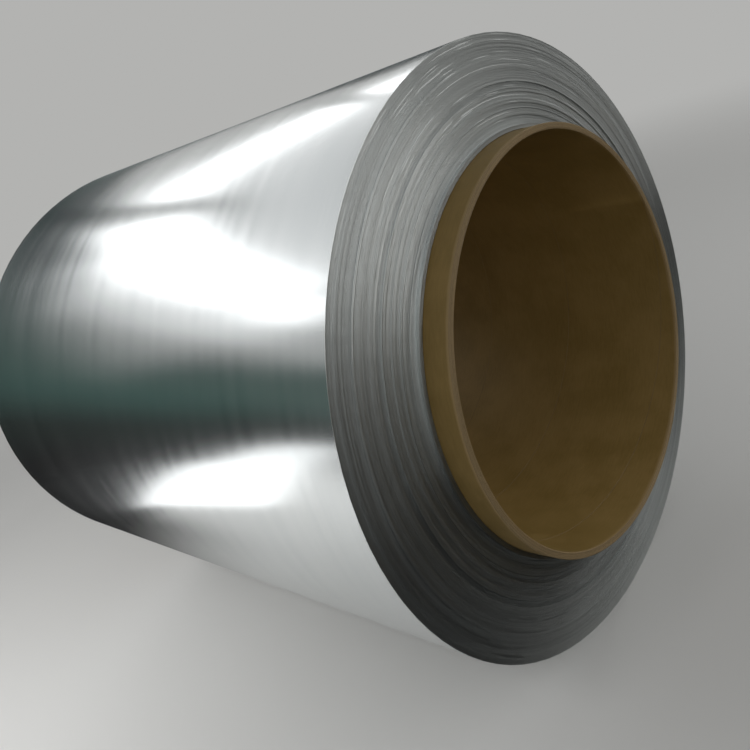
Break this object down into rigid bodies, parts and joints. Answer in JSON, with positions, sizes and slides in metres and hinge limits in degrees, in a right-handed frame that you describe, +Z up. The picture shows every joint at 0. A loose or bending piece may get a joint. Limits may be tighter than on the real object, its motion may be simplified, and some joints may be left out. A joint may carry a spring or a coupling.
{
  "type": "steel coil",
  "caption": "Coil of bright galvanised steel strip wound on a kraft paper tube that stands out of both ends, with an open round bore for a mandrel.",
  "frame": {"origin": "on the bore's axis, at the middle of the tube's length", "axes": "+X along the bore towards the end where the first turns stand out, +Z up"},
  "size_m": [0.994, 0.7602, 0.7599],
  "materials": {
    "bright_strip": "bright rolled, satin mirror on the outer turn, dull cut edges on the ends",
    "kraft_paper": "matt"
  },
  "bodies": {
    "root": {"steel_strip": "bright_strip", "paper_core": "kraft_paper"}
  },
  "joints": []
}
